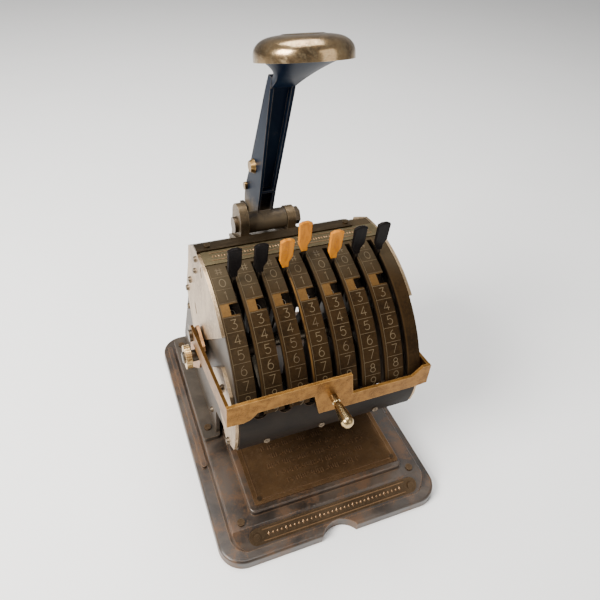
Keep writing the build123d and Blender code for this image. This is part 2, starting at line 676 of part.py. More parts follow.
with BuildPart() as lever:
    with BuildSketch(across(LEVER_X - 9)):
        yz_polygon([(front_y(206), 206), (front_y(LEVER_TOP_Z), LEVER_TOP_Z),
                    (front_y(LEVER_TOP_Z) + 6.5, LEVER_TOP_Z), (58, 258), (81, 210), (82, 196),
                    (PIN_Y + 5, PIN_Z - 5), (PIN_Y - 5, PIN_Z - 5), (PIVOT_Y + 6, PIVOT_Z - 5),
                    (PIVOT_Y - 4, PIVOT_Z)])
    extrude(amount=18)
    # narrow the sides towards the foot
    for side in (-1, 1):
        with BuildSketch(Plane.XZ.offset(-120)):
            with BuildLine():
                Polyline((LEVER_X + side * 9.2, 340), (LEVER_X + side * 9.2, 320), (LEVER_X + side * 6.75, 226),
                         (LEVER_X + side * 6.75, 170), (LEVER_X + side * 14, 170), (LEVER_X + side * 14, 340),
                         close=True)
            make_face()
        extrude(amount=160, mode=Mode.SUBTRACT)
    # channel down the front
    channel = Plane(origin=(LEVER_X, front_y(228), 228), x_dir=(1, 0, 0),
                    z_dir=(0, -cos(radians(LEAN)), -sin(radians(LEAN))))
    with BuildSketch(channel):
        with BuildLine():
            Polyline((-4.4, -2), (-6.0, 60), (-6.4, 97), (6.4, 97), (6.0, 60), (4.4, -2), close=True)
        make_face()
    extrude(amount=-4.5, mode=Mode.SUBTRACT)
    with BuildSketch(channel):
        with Locations((0, -14)):
            Rectangle(9.5, 20)
    extrude(amount=-9, mode=Mode.SUBTRACT)
    # hub
    with BuildSketch(across(LEVER_X - 16.6)):
        with Locations((PIVOT_Y, PIVOT_Z)):
            Circle(8.5)
    extrude(amount=33.2)
    with BuildSketch(across(LEVER_X - 30)):
        with Locations((PIVOT_Y, PIVOT_Z)):
            Circle(PIVOT_R + RUN)
        with Locations((PIN_Y, PIN_Z)):
            Circle(2.5)
    extrude(amount=60, mode=Mode.SUBTRACT)
    # flare that carries the palm cap
    cap_plane = Plane(origin=(CAP_X, CAP_Y, CAP_Z), x_dir=(1, 0, 0),
                      z_dir=(0, sin(radians(CAP_TILT)), cos(radians(CAP_TILT))))
    with BuildSketch(Plane(origin=(LEVER_X, front_y(318) + 5, 318), x_dir=(1, 0, 0),
                           z_dir=(0, -sin(radians(LEAN)), cos(radians(LEAN))))) as neck:
        Rectangle(17.5, 9)
    with BuildSketch(cap_plane.offset(-6)) as mid:
        with Locations((-2, 3)):
            Ellipse(19, 16)
    with BuildSketch(cap_plane.offset(-0.5)) as top:
        Circle(CAP_R - 3)
    loft(sections=[neck.sketch, mid.sketch, top.sketch])
save(lever.part, "lever_arm")

with BuildPart() as cap:
    with BuildSketch(Plane(origin=(CAP_X, CAP_Y, CAP_Z), x_dir=(1, 0, 0),
                           z_dir=(0, -cos(radians(CAP_TILT)), sin(radians(CAP_TILT))))):
        with BuildLine():
            Line((0, 0), (CAP_R - 1.2, 0))
            Line((CAP_R - 1.2, 0), (CAP_R - 1.2, -2.6))
            Line((CAP_R - 1.2, -2.6), (CAP_R, -2.6))
            Spline((CAP_R, -2.6), (CAP_R - 0.6, 4.5), (CAP_R - 6, 10.0), (14, 12.4), (0, 13.0),
                   tangents=[(0, 1), (-1, 0)])
            Line((0, 13.0), (0, 0))
        make_face()
    revolve(axis=Axis((CAP_X, CAP_Y, CAP_Z), (0, sin(radians(CAP_TILT)), cos(radians(CAP_TILT)))))
save(cap.part, "palm_cap")

with BuildPart() as lever_bolts:
    with BuildSketch(across(LEVER_X - 7.35)):
        with Locations((57, 242)):
            Circle(6.0)
    extrude(amount=-3.6, taper=25)
    with BuildSketch(across(LEVER_X - 6.75)):
        with Locations((76, 214)):
            Circle(3.2)
    extrude(amount=-2.4)
    with BuildSketch(across(LEVER_X - 13.4)):
        with Locations((PIN_Y, PIN_Z)):
            Circle(2.5)
    extrude(amount=26.8)
save(lever_bolts.part, "lever_bolts")

# ======== platen carriage ============================================================================================
with BuildPart() as carriage:
    with BuildSketch(Plane.XY.offset(6)):
        with Locations((0, AXIS_Y)):
            Rectangle(2 * PLATEN_HALF, PLATEN_D)
    extrude(amount=PAD_TOP - 2.6 - 6)
    with BuildSketch(Plane.XY.offset(6)):
        with Locations((LEVER_X, (AXIS_Y + YOKE_Y1) / 2)):
            Rectangle(2 * YOKE_HALF, YOKE_Y1 - AXIS_Y)
    extrude(amount=6)
    with BuildSketch(Plane.XY.offset(8)):
        with Locations((LEVER_X, ROD_Y)):
            Circle(ROD_R)
    extrude(amount=160)
    with BuildSketch(Plane.XY.offset(92)):
        with Locations((LEVER_X, ROD_Y)):
            Circle(7.0)
    extrude(amount=3)
    with BuildSketch(across(LEVER_X - 11)):
        yz_polygon([(ROD_Y - 5, 166), (ROD_Y + 5, 166), (ROD_Y + 6, PIN_Z + 7), (ROD_Y - 6, PIN_Z + 7)])
    extrude(amount=22)
    with BuildSketch(across(LEVER_X - 7.6)):
        yz_polygon([(ROD_Y - 9, 170), (ROD_Y + 9, 170), (ROD_Y + 9, 230), (ROD_Y - 9, 230)])
    extrude(amount=15.2, mode=Mode.SUBTRACT)
    with BuildSketch(across(LEVER_X - 20)):
        with Locations(((PIN_Y + PIVOT_Y + CRANK) / 2, PIN_Z)):
            SlotOverall(7.5, 5.6)
    extrude(amount=40, mode=Mode.SUBTRACT)
save(carriage.part, "platen_carriage")

with BuildPart() as pad:
    with BuildSketch(Plane.XY.offset(PAD_TOP - 2.6)):
        with Locations((0, AXIS_Y)):
            Rectangle(2 * PLATEN_HALF - 1, PLATEN_D - 1)
    extrude(amount=2.6)
save(pad.part, "platen_pad")

# Return spring round the rod, between its collar and the guide
SPRING_R = 6.0
SPRING_Z0 = 95.8
SPRING_TURNS = 6
with BuildPart() as spring:
    with BuildLine():
        Helix(pitch=(GUIDE_Z - SPRING_Z0 - 1.6) / SPRING_TURNS, height=GUIDE_Z - SPRING_Z0 - 1.6,
              radius=SPRING_R, center=(LEVER_X, ROD_Y, SPRING_Z0))
    with BuildSketch(Plane(origin=(LEVER_X + SPRING_R, ROD_Y, SPRING_Z0), x_dir=(1, 0, 0), z_dir=(0, 1, 0))):
        RegularPolygon(0.75, 6)
    sweep(is_frenet=True)
save(spring.part, "return_spring")
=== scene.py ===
import json
import logging
import math
from dataclasses import dataclass, field
from enum import Enum
from typing import Callable, Sequence, Union

import bpy
import bmesh
from mathutils import Matrix, Vector


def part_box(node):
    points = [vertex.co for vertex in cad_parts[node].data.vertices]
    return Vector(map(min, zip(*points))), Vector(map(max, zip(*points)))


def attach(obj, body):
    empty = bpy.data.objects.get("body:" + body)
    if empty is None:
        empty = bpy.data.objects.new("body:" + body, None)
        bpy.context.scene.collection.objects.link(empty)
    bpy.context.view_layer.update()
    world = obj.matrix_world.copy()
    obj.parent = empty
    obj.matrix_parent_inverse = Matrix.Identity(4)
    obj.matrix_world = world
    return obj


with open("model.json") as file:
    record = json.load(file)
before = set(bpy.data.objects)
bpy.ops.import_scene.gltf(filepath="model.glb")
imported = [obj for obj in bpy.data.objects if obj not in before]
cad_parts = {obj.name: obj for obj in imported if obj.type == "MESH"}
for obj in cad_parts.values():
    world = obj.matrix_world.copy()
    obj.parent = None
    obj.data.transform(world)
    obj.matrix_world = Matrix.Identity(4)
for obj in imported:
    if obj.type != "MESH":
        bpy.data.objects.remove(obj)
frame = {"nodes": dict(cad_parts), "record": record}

log = logging.getLogger("check_writer")
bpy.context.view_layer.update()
MM = 0.001
EVEN = (1.0, 1.0, 1.0)

Number = Union[int, float]
Colour = tuple[float, float, float]
Point = tuple[float, float, float]
Run = list[tuple[float, float]]


class Axis(Enum):
    """A direction of the frame, and its place in a vector."""

    X = 0
    Y = 1
    Z = 2


# ---------------------------------------------------------------------------------------------
# Shader expressions
# ---------------------------------------------------------------------------------------------


class Value:
    """A socket that Python's operators turn into Math nodes."""

    def __init__(self, tree: "Tree", socket: bpy.types.NodeSocket) -> None:
        """Wrap a socket.

        Args:
            tree: The tree that the socket's node is in.
            socket: The output socket to wrap.
        """
        self.tree = tree
        self.socket = socket

    def _math(self, operation: str, *operands: "Value | Number") -> "Value":
        """Add a Math node.

        Args:
            operation: The Math node's operation.
            operands: Its inputs, in order.

        Returns:
            The node's result.
        """
        return self.tree.node("ShaderNodeMath", {"operation": operation}, dict(enumerate(operands)))

    def __add__(self, other: "Value | Number") -> "Value":
        """Return self + other."""
        return self._math("ADD", self, other)

    def __radd__(self, other: Number) -> "Value":
        """Return other + self."""
        return self._math("ADD", other, self)

    def __sub__(self, other: "Value | Number") -> "Value":
        """Return self - other."""
        return self._math("SUBTRACT", self, other)

    def __rsub__(self, other: Number) -> "Value":
        """Return other - self."""
        return self._math("SUBTRACT", other, self)

    def __mul__(self, other: "Value | Number") -> "Value":
        """Return self * other."""
        return self._math("MULTIPLY", self, other)

    def __rmul__(self, other: Number) -> "Value":
        """Return other * self."""
        return self._math("MULTIPLY", other, self)

    def __truediv__(self, other: "Value | Number") -> "Value":
        """Return self / other."""
        return self._math("DIVIDE", self, other)

    def __rtruediv__(self, other: Number) -> "Value":
        """Return other / self."""
        return self._math("DIVIDE", other, self)

    def __abs__(self) -> "Value":
        """Return the size of self."""
        return self._math("ABSOLUTE", self)

    def fraction(self) -> "Value":
        """Return the part of self after the point."""
        return self._math("FRACT", self)

    def angle_to(self, other: "Value") -> "Value":
        """Return the angle whose sine side is self and cosine side is other."""
        return self._math("ARCTAN2", self, other)

    def clipped(self) -> "Value":
        """Return self held between 0 and 1."""
        return self._math("MAXIMUM", self._math("MINIMUM", self, 1.0), 0.0)

    def step(self, low: Number, high: Number) -> "Value":
        """Return a smooth rise from 0 at low to 1 at high."""
        settings = {"interpolation_type": "SMOOTHSTEP"}
        return self.tree.node("ShaderNodeMapRange", settings, {0: self, 1: low, 2: high})

    def between(self, low: Number, high: Number) -> "Value":
        """Return low where self is 0 and high where it is 1."""
        return self * (high - low) + low


Input = Union[Value, Number, Sequence[float], str]


class Tree:
    """One material's node tree, and the few calls that fill it."""

    def __init__(self, name: str) -> None:
        """Make a material whose tree holds one Principled shader.

        Args:
            name: The material's name.
        """
        self.material = bpy.data.materials.new(name)
        self.material.use_nodes = True
        self.nodes = self.material.node_tree.nodes
        self.links = self.material.node_tree.links
        self.shader = self.nodes["Principled BSDF"]

    def node(self, kind: str, settings: dict | None = None, inputs: dict | None = None,
             output: int | str = 0) -> Value:
        """Add a node.

        Args:
            kind: The node's type.
            settings: Its own settings, and "stops" for a ramp: (place, colour) pairs.
            inputs: Its sockets' values or links, by index or name.
            output: The output to return.

        Returns:
            The wrapped output.
        """
        made = self.nodes.new(kind)
        for key, setting in (settings or {}).items():
            if key == "stops":
                self._stops(made.color_ramp, setting)
            else:
                setattr(made, key, setting)
        for key, value in (inputs or {}).items():
            self.feed(made.inputs[key], value)
        return Value(self, made.outputs[output])

    def feed(self, socket: bpy.types.NodeSocket, value: Input) -> None:
        """Link a wrapped output to a socket, or set the socket's value.

        Args:
            socket: The input socket.
            value: What it takes.
        """
        if isinstance(value, Value):
            self.links.new(value.socket, socket)
        elif isinstance(value, (tuple, list)) and len(value) == 3 and socket.type == "RGBA":
            socket.default_value = (*value, 1.0)
        else:
            socket.default_value = value

    @staticmethod
    def _stops(ramp: bpy.types.ColorRamp, stops: Sequence[tuple[float, Colour]]) -> None:
        """Set a ramp's stops.

        Args:
            ramp: The ramp.
            stops: (place, colour) pairs, in order.
        """
        while len(ramp.elements) < len(stops):
            ramp.elements.new(1.0)
        for element, (place, colour) in zip(ramp.elements, stops):
            element.position = place
            element.color = (*colour, 1.0)

    def place(self, scale: float = 1.0, stretch: Point = EVEN) -> Value:
        """Return the place on the object, in millimetres over a scale.

        Args:
            scale: Millimetres for each unit of the pattern.
            stretch: How much longer the pattern is along X, Y and Z.

        Returns:
            The coordinates.
        """
        where = self.node("ShaderNodeTexCoord", output="Object")
        factors = tuple(1.0 / (MM * scale * s) for s in stretch)
        return self.node("ShaderNodeVectorMath", {"operation": "MULTIPLY"}, {0: where, 1: factors})

    def along(self, axis: Axis) -> Value:
        """Return the place along one axis, in millimetres."""
        return self.node("ShaderNodeSeparateXYZ", inputs={0: self.place()}, output=axis.value)

    def facing(self, axis: Axis) -> Value:
        """Return how far the surface turns towards an axis, from -1 to 1."""
        normal = self.node("ShaderNodeNewGeometry", output="True Normal")
        return self.node("ShaderNodeSeparateXYZ", inputs={0: normal}, output=axis.value)

    def noise(self, scale: float, detail: float = 4.0, stretch: Point = EVEN,
              rough: float = 0.55, warp: float = 0.0) -> Value:
        """Return cloudy noise, 0 to 1, with patches of about scale millimetres.

        Args:
            scale: Size of a patch.
            detail: Number of finer layers.
            stretch: How much longer the patches are along X, Y and Z.
            rough: Strength of the finer layers.
            warp: Distortion.

        Returns:
            The noise.
        """
        sockets = {"Vector": self.place(scale, stretch), "Scale": 1.0, "Detail": detail, "Roughness": rough,
                   "Distortion": warp}
        return self.node("ShaderNodeTexNoise", None, sockets)

    def cells(self, scale: float) -> Value:
        """Return the distance to the nearest of points scattered about scale millimetres apart."""
        sockets = {"Vector": self.place(scale), "Scale": 1.0, "Randomness": 1.0}
        return self.node("ShaderNodeTexVoronoi", None, sockets)

    def blend(self, under: Input, over: Input, amount: Input) -> Value:
        """Lay one colour over another.

        Args:
            under: The colour below.
            over: The colour on top.
            amount: How much of it shows.

        Returns:
            The colour.
        """
        settings = {"data_type": "RGBA", "clamp_factor": True}
        return self.node("ShaderNodeMix", settings, {0: amount, 6: under, 7: over}, 2)

    def edges(self, radius: float) -> Value:
        """Return 1 on edges that turn within radius millimetres, and 0 on flats.

        Args:
            radius: How far from an edge the mask reaches.

        Returns:
            The mask.
        """
        soft = self.node("ShaderNodeBevel", {"samples": 3}, {"Radius": radius * MM})
        true = self.node("ShaderNodeNewGeometry", output="True Normal")
        same = self.node("ShaderNodeVectorMath", {"operation": "DOT_PRODUCT"}, {0: soft, 1: true}, "Value")
        return (1.0 - same).step(0.02, 0.22)

    def bump(self, height: Value, depth: float) -> None:
        """Let a height map tilt the shader's normal.

        Args:
            height: The height, 0 to 1.
            depth: What 1 stands for, in millimetres.
        """
        sockets = {"Height": height, "Distance": depth * MM, "Strength": 1.0}
        self.feed(self.shader.inputs["Normal"], self.node("ShaderNodeBump", None, sockets))

    def set(self, **values: Input) -> None:
        """Feed the shader's sockets, named with _ for a space."""
        for key, value in values.items():
            self.feed(self.shader.inputs[key.replace("_", " ")], value)


# ---------------------------------------------------------------------------------------------
# Finishes
# ---------------------------------------------------------------------------------------------


@dataclass(frozen=True)
class WornMetal:
    """Bare or plated metal with patina, streaks, pits and edges rubbed bright."""

    name: str
    base: Colour
    dark: Colour
    light: Colour
    edge: Colour
    cloud: float = 14.0
    streak: Point = EVEN
    rough: tuple[float, float] = (0.25, 0.5)
    metallic: float = 1.0
    dark_share: float = 0.7
    light_share: float = 0.4
    edge_width: float = 0.7
    edge_share: float = 0.8
    pits: float = 0.0
    grain: float = 0.6
    depth: float = 0.06

    def build(self) -> bpy.types.Material:
        """Lay out the nodes.

        Returns:
            The material.
        """
        t = Tree(self.name)
        cloud = t.noise(self.cloud, 5.0, self.streak, 0.6, 0.4)
        speck = t.noise(self.cloud * 0.16, 3.0, self.streak, 0.6)
        fine = t.noise(self.grain, 2.0, self.streak)
        tone = t.blend(self.base, self.dark, (cloud * 0.6 + speck * 0.4).step(0.41, 0.59) * self.dark_share)
        tone = t.blend(tone, self.light, (speck * 0.65 + fine * 0.35).step(0.48, 0.62) * self.light_share)
        worn = (t.edges(self.edge_width) * (speck + 0.45)).clipped()
        tone = t.blend(tone, self.edge, worn * self.edge_share)
        height = fine * 0.5 + speck * 0.5
        if self.pits:
            pit = 1.0 - t.cells(2.1).step(0.06, 0.26)
            pit = pit * cloud.step(0.4, 0.6)
            tone = t.blend(tone, self.dark, pit * self.pits)
            height = height - pit * self.pits * 1.6
        low, high = self.rough
        t.set(Base_Color=tone, Metallic=self.metallic,
              Roughness=(speck * 0.5 + cloud * 0.5 - worn * 0.25).clipped().between(low, high))
        t.bump(height, self.depth)
        return t.material


@dataclass(frozen=True)
class WornEnamel:
    """Dark enamel or japanning: a film, hazed, and rubbed through to warm metal on edges and in patches."""

    name: str
    base: Colour
    haze: Colour
    rub: Colour
    edge: Colour
    cloud: float = 30.0
    rough: tuple[float, float] = (0.12, 0.4)
    haze_share: float = 0.5
    rub_share: float = 0.5
    rub_from: float = 0.56
    edge_width: float = 1.2
    edge_share: float = 0.9
    depth: float = 0.12
    streak: Point = EVEN
    specular: float = 0.35
    bare_below: float = 0.0

    def build(self) -> bpy.types.Material:
        """Lay out the nodes.

        Returns:
            The material.
        """
        t = Tree(self.name)
        cloud = t.noise(self.cloud, 6.0, self.streak, 0.62, 0.8)
        patch = t.noise(self.cloud * 0.42, 5.0, rough=0.66, warp=0.3)
        speck = t.noise(1.3, 3.0)
        scuff = t.noise(2.6, 3.0, (9.0, 1.0, 1.0), 0.6)
        tone = t.blend(self.base, self.haze, cloud.step(0.35, 0.68) * self.haze_share)
        rubbed = (patch * 0.7 + speck * 0.3).step(self.rub_from, self.rub_from + 0.14) * self.rub_share
        if self.bare_below:
            bare = 1.0 - (t.along(Axis.Z) + patch * 30.0).step(self.bare_below, self.bare_below + 16.0)
            rubbed = (rubbed + bare * 0.85).clipped()
        tone = t.blend(tone, self.rub, rubbed)
        worn = (t.edges(self.edge_width) * (patch * 1.2 + speck * 0.5)).clipped()
        tone = t.blend(tone, self.edge, worn * self.edge_share)
        low, high = self.rough
        t.set(Base_Color=tone, Metallic=((rubbed * 0.5) + worn * self.edge_share * 0.7).clipped(),
              Roughness=(cloud * 0.5 + scuff * 0.3 + rubbed * 0.5 + worn * 0.3).clipped().between(low, high),
              Specular_IOR_Level=self.specular)
        t.bump(patch * 0.5 + speck * 0.35 + scuff * 0.15, self.depth)
        return t.material


@dataclass(frozen=True)
class Moulded:
    """Pressed plastic or ivory-like stock, clouded, with dirt in its grain and a soft polish."""

    name: str
    base: Colour
    dark: Colour
    edge: Colour
    grain: float = 5.0
    rough: tuple[float, float] = (0.12, 0.3)
    dark_share: float = 0.6
    specular: float = 0.4

    def build(self) -> bpy.types.Material:
        """Lay out the nodes.

        Returns:
            The material.
        """
        t = Tree(self.name)
        cloud = t.noise(self.grain, 5.0, (1.0, 1.4, 3.0), 0.6, 1.0)
        speck = t.noise(0.8, 2.0)
        tone = t.blend(self.base, self.dark, (cloud * 0.8 + speck * 0.2).step(0.46, 0.7) * self.dark_share)
        tone = t.blend(tone, self.edge, t.edges(0.5) * 0.5)
        low, high = self.rough
        t.set(Base_Color=tone, Roughness=(cloud * 0.6 + speck * 0.4).between(low, high),
              Specular_IOR_Level=self.specular)
        t.bump(cloud * 0.6 + speck * 0.4, 0.03)
        return t.material


@dataclass(frozen=True)
class DrumPlace:
    """Where the face's columns and rows lie, in millimetres and degrees."""

    axis_y: float
    axis_z: float
    first_x: float
    radius: float = 99.3
    dial_radius: float = 89.0
    pitch: float = 19.2
    row: float = 6.2
    window: float = 61.4
    window_row: int = 2
    home_rows: int = 3
    columns: int = 7

    def point(self, x: float, angle: float, lift: float = 0.0) -> Point:
        """Find a place on the face.

        Args:
            x: Its place across, in millimetres.
            angle: Its angle up the face, in degrees.
            lift: How far above the face's surface it lies, in millimetres.

        Returns:
            The place, in metres.
        """
        turn = math.radians(angle)
        r = self.radius + lift
        return (x * MM, (self.axis_y - r * math.cos(turn)) * MM, (self.axis_z + r * math.sin(turn)) * MM)

    def column_x(self, index: int) -> float:
        """Return the x of a column's slot."""
        return self.first_x + self.pitch * index

    def row_angle(self, number: float) -> float:
        """Return the angle of a row of the face, which falls as its number grows."""
        return self.window - (number - self.window_row) * self.row


@dataclass(frozen=True)
class FaceBronze:
    """Aged bronze of the curved face, polished beside the windows, with painted light and shade: a highlight
    along each slot's edge, lighter upper rows and left columns, and dark slot walls.
    """

    drum: DrumPlace
    base: Colour = (0.046, 0.0255, 0.0102)
    dark: Colour = (0.0185, 0.0105, 0.0048)
    # grey: random greyed tone, and painted light that lightens the upper rows and the left columns
    grey: Colour = (0.082, 0.062, 0.037)
    # polish: real polish beside the windows and on rubbed edges, and also the painted highlight along each
    # slot's edge
    polish: Colour = (0.21, 0.108, 0.032)
    shade: Colour = (0.014, 0.009, 0.005)

    def build(self) -> bpy.types.Material:
        """Lay out the nodes.

        Returns:
            The material.
        """
        t = Tree("face bronze")
        d = self.drum
        last = d.column_x(d.columns - 1)
        x = t.along(Axis.X)
        up = t.along(Axis.Z) - d.axis_z
        out = d.axis_y - t.along(Axis.Y)
        angle = up.angle_to(out) * (180.0 / math.pi)
        cell = ((x - (d.first_x - d.pitch)) / d.pitch).fraction() * d.pitch
        cloud = t.noise(16.0, 6.0, rough=0.62, warp=0.5)
        speck = t.noise(1.8, 4.0, rough=0.65)
        fine = t.noise(0.45, 2.0)
        brush = t.noise(1.2, 3.0, (14.0, 1.0, 1.0), 0.6)
        tone = t.blend(self.base, self.dark, (cloud * 0.6 + speck * 0.4).step(0.42, 0.66) * 0.85)
        # Painted light: upper rows and left columns are greyed lighter as if lit from above and from the
        # left; speckled greying adds random tone.
        upper = (angle + cloud * 18.0).step(64.0, 84.0)
        left = 1.0 - (x + cloud * 30.0).step(-62.0, -20.0)
        greyed_tone_and_painted_light = (upper * 0.62 + left * 0.3 + speck.step(0.55, 0.8) * 0.22).clipped()
        tone = t.blend(tone, self.grey, greyed_tone_and_painted_light)
        near_window = 1.0 - abs(angle - d.window).step(2.2, 3.1)
        beside = cell.step(3.9, 4.6) * (1.0 - cell.step(12.0, 18.5))
        inside = 1.0 - x.step(last - 1.0, last)
        polished = near_window * beside * inside * (speck * 0.9 + cloud * 0.7 - 0.1).clipped()
        # Painted highlight: a thin bright line along each slot's right edge, strongest by the third column.
        slot_edge_painted_highlight = (1.0 - abs(cell - 2.75).step(0.25, 0.95)) * angle.step(14.0, 20.0)
        brightest_highlight_column = 1.0 - abs(x - d.column_x(2)).step(2.5, 6.0)
        slot_edge_painted_highlight = slot_edge_painted_highlight * cloud.step(0.3, 0.56) * (0.14 + brightest_highlight_column * 0.86)
        rim = t.edges(0.4) * (speck * 0.5 + 0.05)
        # Real polish and rubbed edges, plus the painted slot-edge highlight.
        bright = (polished + slot_edge_painted_highlight + rim * 0.55).clipped()
        tone = t.blend(tone, self.polish, bright)
        # Painted shade: faces turned sideways, the slot walls, are darkened towards the shade colour.
        tone = t.blend(tone, self.shade, abs(t.facing(Axis.X)).step(0.5, 0.8) * 0.9)
        t.set(Base_Color=tone, Metallic=0.95,
              Roughness=(0.56 + cloud * 0.2 + speck * 0.14 - bright * 0.26).clipped())
        t.bump(fine * 0.25 + speck * 0.35 + brush * 0.4, 0.07)
        return t.material


class Finishes:
    """Every finish, each built once, and the CAD nodes that take them."""

    def __init__(self, drum: DrumPlace) -> None:
        """Build the materials.

        Args:
            drum: Where the face's columns and rows lie.
        """
        kinds = [*self.brasses(), *self.steels(), *self.films(), *self.mouldings(), FaceBronze(drum)]
        self.made: dict[str, bpy.types.Material] = {}
        for kind in kinds:
            material = kind.build()
            self.made[material.name] = material
        self.own_finish = {"front_plate": "front brass", "base_screws": "front brass"}

    @staticmethod
    def brasses() -> list[WornMetal]:
        """List the yellow and copper-coloured metals.

        Returns:
            The finishes.
        """
        return [
            WornMetal("plate brass", (0.15, 0.082, 0.036), (0.075, 0.04, 0.018), (0.23, 0.14, 0.075),
                (0.3, 0.175, 0.09), cloud=22.0, rough=(0.4, 0.62), metallic=0.85, depth=0.09),
            WornMetal("front brass", (0.091, 0.0578, 0.0317), (0.042, 0.0258, 0.0132),
                (0.14, 0.0952, 0.0561), (0.189, 0.1224, 0.0693), cloud=20.0, rough=(0.36, 0.6),
                metallic=0.9, depth=0.09),
            WornMetal("raised brass", (0.216, 0.1232, 0.0624), (0.108, 0.0595, 0.028),
                (0.288, 0.1785, 0.1), (0.324, 0.1955, 0.104), cloud=9.0, rough=(0.38, 0.58),
                metallic=0.9),
            WornMetal("screw brass", (0.276, 0.1705, 0.0653), (0.108, 0.0605, 0.0203),
                (0.396, 0.264, 0.117), (0.48, 0.33, 0.153), cloud=4.0, rough=(0.22, 0.44)),
            WornMetal("title brass", (0.116, 0.09, 0.0476), (0.0493, 0.0372, 0.0197),
                (0.174, 0.144, 0.0841), (0.2436, 0.192, 0.1044), cloud=20.0,
                streak=(3.0, 1.0, 1.0), rough=(0.42, 0.64), metallic=0.95),
            WornMetal("bracket copper", (0.4235, 0.2275, 0.1066), (0.1925, 0.0878, 0.0364),
                (0.5698, 0.3575, 0.1976), (0.6314, 0.416, 0.234), cloud=9.0, rough=(0.34, 0.56),
                pits=0.4),
            WornMetal("bail brass", (0.2088, 0.0984, 0.0224), (0.0696, 0.0288, 0.0058),
                (0.3132, 0.1632, 0.0448), (0.4176, 0.24, 0.0816), cloud=7.0, rough=(0.34, 0.56),
                pits=0.75, edge_width=0.9),
            WornMetal("nut brass", (0.684, 0.4752, 0.216), (0.266, 0.1496, 0.0504),
                (0.798, 0.616, 0.3456), (0.855, 0.6864, 0.4032), cloud=5.0, rough=(0.24, 0.42)),
        ]

    @staticmethod
    def steels() -> list[WornMetal]:
        """List the grey and plated metals.

        Returns:
            The finishes.
        """
        return [
            WornMetal("end steel", (0.42, 0.297, 0.1755), (0.1275, 0.0825, 0.0459),
                (0.585, 0.4422, 0.2808), (0.645, 0.5016, 0.3348), cloud=18.0,
                streak=(1.0, 1.6, 4.0), rough=(0.28, 0.55), dark_share=0.72, light_share=0.6,
                grain=0.8),
            WornMetal("bar steel", (0.0562, 0.0374, 0.0193), (0.021, 0.015, 0.0088),
                (0.1275, 0.0884, 0.0495), (0.21, 0.1428, 0.077), cloud=24.0,
                streak=(5.0, 1.0, 1.0), rough=(0.34, 0.56), metallic=0.95),
            WornMetal("screw steel", (0.144, 0.108, 0.072), (0.056, 0.0396, 0.0256),
                (0.224, 0.1728, 0.1216), (0.28, 0.2232, 0.16), cloud=4.0, rough=(0.28, 0.48)),
            WornMetal("shaft steel", (0.1, 0.083, 0.062), (0.04, 0.032, 0.024), (0.19, 0.165, 0.13),
                (0.28, 0.24, 0.19), cloud=10.0, rough=(0.28, 0.48)),
            WornMetal("bracket iron", (0.13, 0.092, 0.052), (0.05, 0.037, 0.023), (0.24, 0.175, 0.105),
                (0.38, 0.28, 0.17), cloud=9.0, streak=(1.0, 1.0, 2.4), rough=(0.36, 0.6),
                metallic=0.9, edge_width=0.9),
            # Segment steel is darkened to near black as painted shade, so the drum's slots read dark inside.
            WornMetal("segment steel", (0.02, 0.015, 0.011), (0.008, 0.006, 0.005),
                (0.05, 0.038, 0.027), (0.09, 0.068, 0.045), cloud=8.0, rough=(0.38, 0.58)),
            WornMetal("knob nickel", (0.495, 0.36, 0.1736), (0.225, 0.1368, 0.0527),
                (0.615, 0.5184, 0.3224), (0.66, 0.5616, 0.3596), cloud=7.0, rough=(0.16, 0.34)),
            WornMetal("cap nickel", (0.46, 0.3135, 0.1658), (0.1, 0.0627, 0.034), (0.8, 0.608, 0.357),
                (0.8, 0.6365, 0.4165), cloud=26.0, rough=(0.13, 0.3), dark_share=0.85,
                edge_width=0.6, depth=0.03),
            WornMetal("spring steel", (0.24, 0.21, 0.17), (0.1, 0.08, 0.06), (0.4, 0.36, 0.3),
                (0.5, 0.45, 0.37), cloud=6.0, rough=(0.25, 0.45)),
        ]

    @staticmethod
    def films() -> list[WornEnamel]:
        """List the japanned, painted and enamelled finishes.

        Returns:
            The finishes.
        """
        return [
            WornEnamel("japan black", (0.0136, 0.0094, 0.0068), (0.068, 0.0492, 0.036),
                (0.1275, 0.0656, 0.032), (0.306, 0.1763, 0.096), cloud=42.0, rough=(0.22, 0.5),
                haze_share=0.75, rub_share=0.6, rub_from=0.47, edge_width=1.5, edge_share=0.7,
                specular=0.55),
            WornEnamel("sheet black", (0.018, 0.016, 0.014), (0.06, 0.052, 0.045), (0.09, 0.06, 0.04),
                (0.16, 0.11, 0.075), cloud=26.0, rough=(0.3, 0.55), rub_share=0.3),
            WornEnamel("frame iron", (0.0294, 0.0228, 0.0164), (0.0714, 0.054, 0.0385),
                (0.063, 0.0342, 0.0182), (0.1428, 0.095, 0.0595), cloud=22.0, rough=(0.4, 0.65),
                haze_share=0.6, rub_share=0.45),
            WornEnamel("cover black", (0.007, 0.0045, 0.003), (0.025, 0.017, 0.011),
                (0.0425, 0.025, 0.013), (0.1, 0.065, 0.0375), cloud=24.0, rough=(0.4, 0.62),
                rub_share=0.35, streak=(2.5, 1.0, 1.0), specular=0.08),
            WornEnamel("lever enamel", (0.0012, 0.0036, 0.0105), (0.006, 0.011, 0.02),
                (0.105, 0.078, 0.047), (0.2, 0.17, 0.135), cloud=34.0, rough=(0.22, 0.46),
                haze_share=0.7, rub_share=0.3, rub_from=0.6, edge_width=0.8, edge_share=0.7,
                depth=0.04, streak=(1.0, 1.0, 2.0), specular=0.02, bare_below=214.0),
        ]

